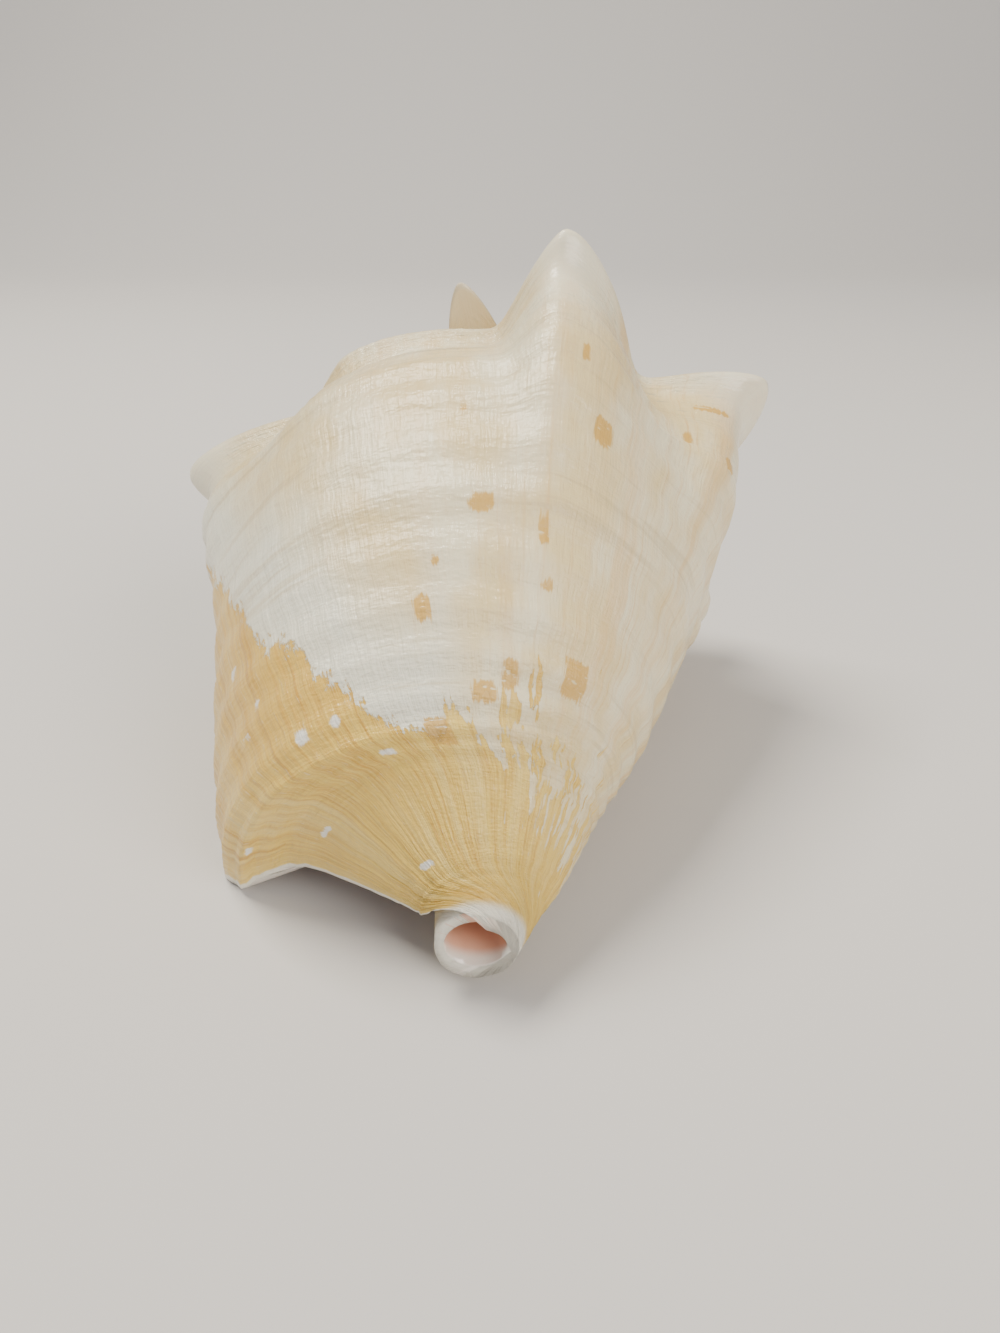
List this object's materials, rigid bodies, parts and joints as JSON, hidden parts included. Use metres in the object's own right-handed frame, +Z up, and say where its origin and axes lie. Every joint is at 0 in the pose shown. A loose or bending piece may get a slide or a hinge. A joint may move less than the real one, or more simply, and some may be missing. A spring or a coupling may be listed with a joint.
{
  "type": "conch shell",
  "caption": "Large knobbed spiral sea shell, a young conch lying on its aperture, with a thin outer lip and an open siphonal canal.",
  "frame": {"origin": "middle of the shell's outline on the table, at the height of its resting points", "axes": "+Z up, +Y towards the spire, -Y towards the siphonal end, -X towards the outer lip"},
  "size_m": [0.1666, 0.1878, 0.1364],
  "materials": {
    "shell": "glossy, natural shell"
  },
  "bodies": {
    "root": {"conch_shell": "shell"}
  },
  "joints": []
}
